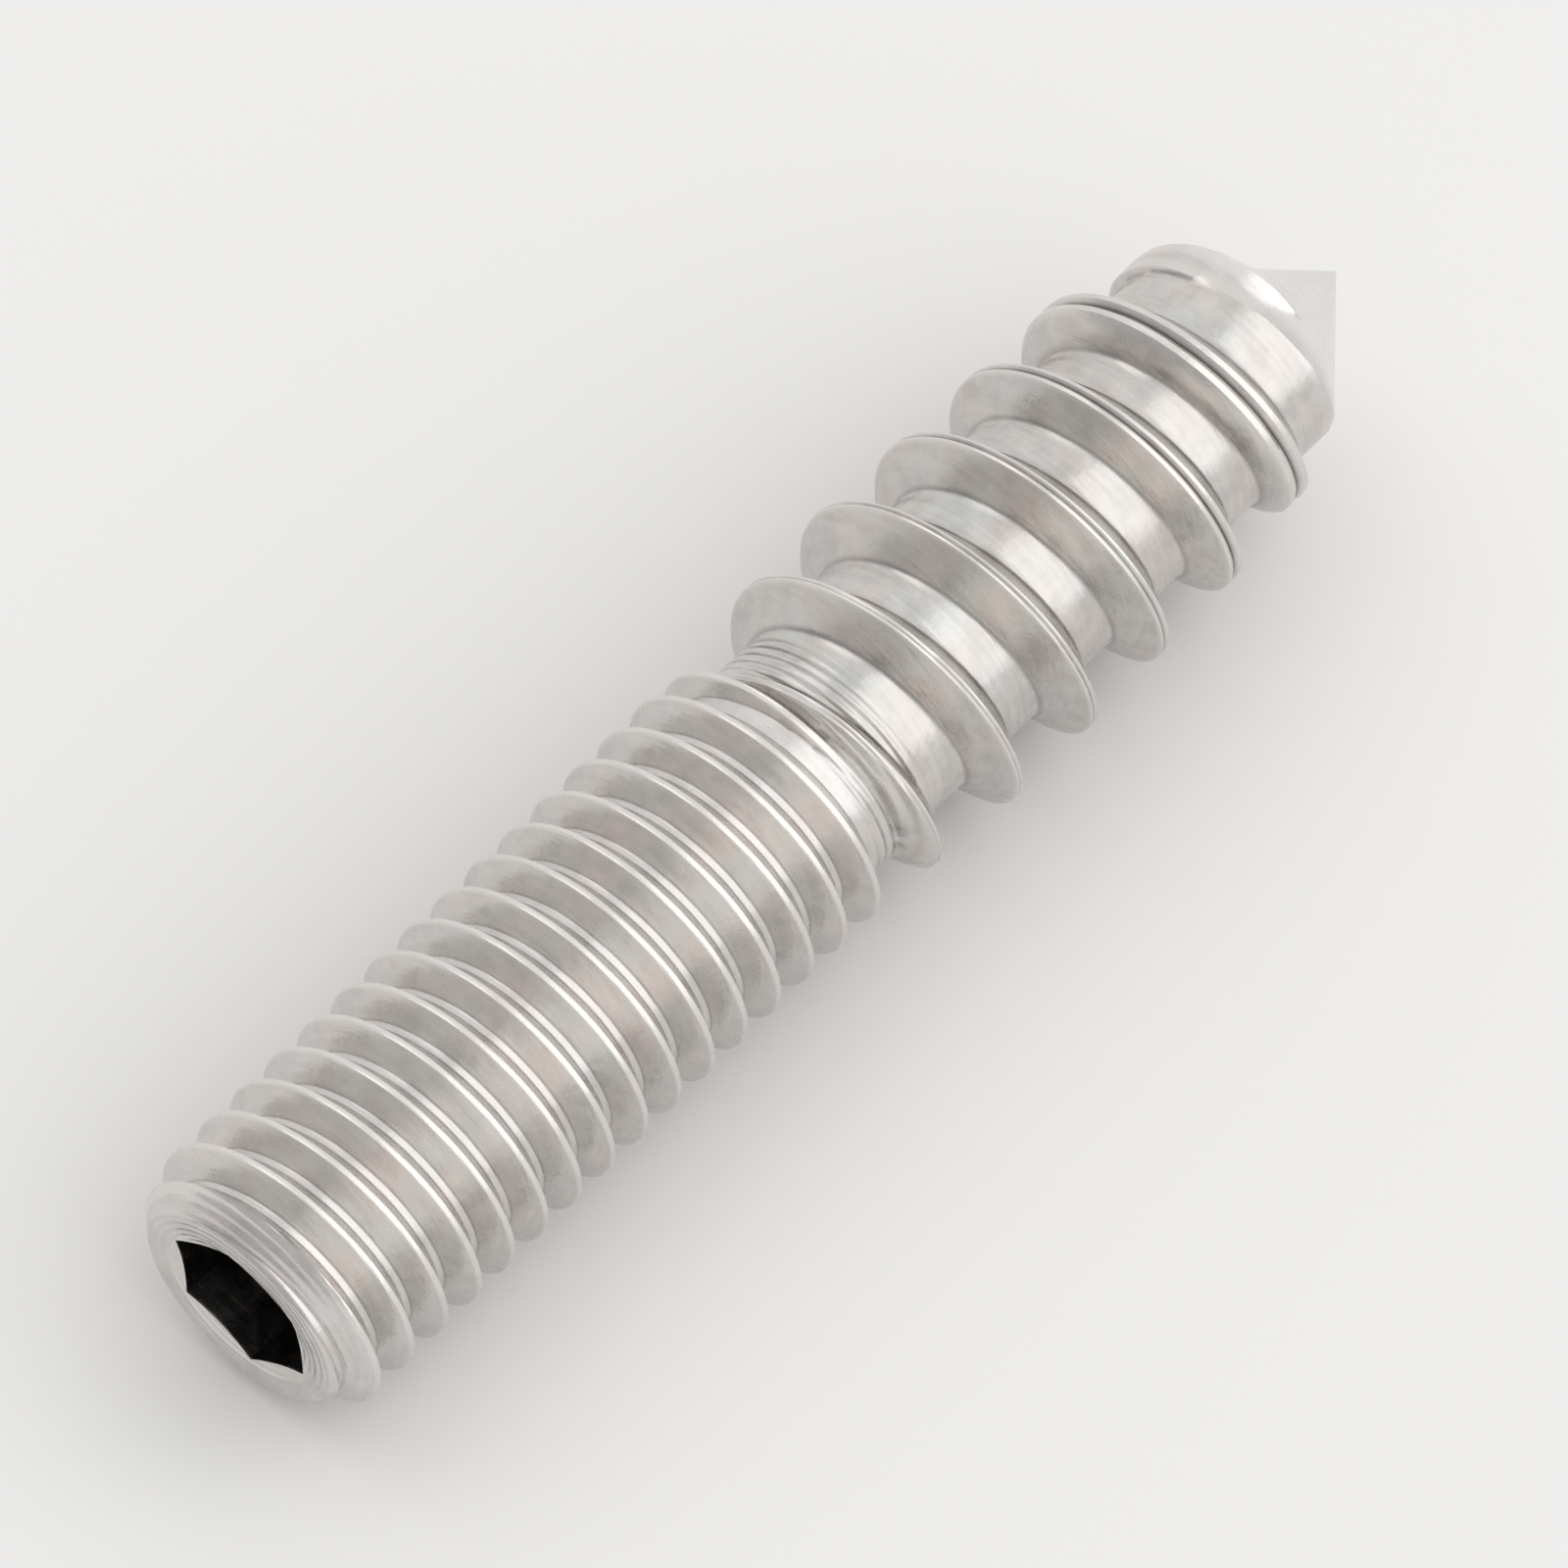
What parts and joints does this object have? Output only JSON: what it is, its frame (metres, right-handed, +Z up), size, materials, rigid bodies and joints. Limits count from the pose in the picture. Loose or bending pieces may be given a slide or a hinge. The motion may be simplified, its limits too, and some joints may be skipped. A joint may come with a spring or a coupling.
{
  "type": "hanger bolt",
  "caption": "Double-ended stainless screw: a machine thread with a hexagon socket at one end and a coarse wood thread with a cone point at the other.",
  "frame": {"origin": "centre of the flat end that has the hexagon socket, on the axis of the bolt", "axes": "+X along the axis towards the cone point, +Z up as the bolt lies"},
  "size_m": [0.0413, 0.0088, 0.0088],
  "materials": {
    "steel": "bright stainless steel as rolled, with fine marks along the threads"
  },
  "bodies": {
    "root": {"hanger_bolt": "steel"}
  },
  "joints": []
}
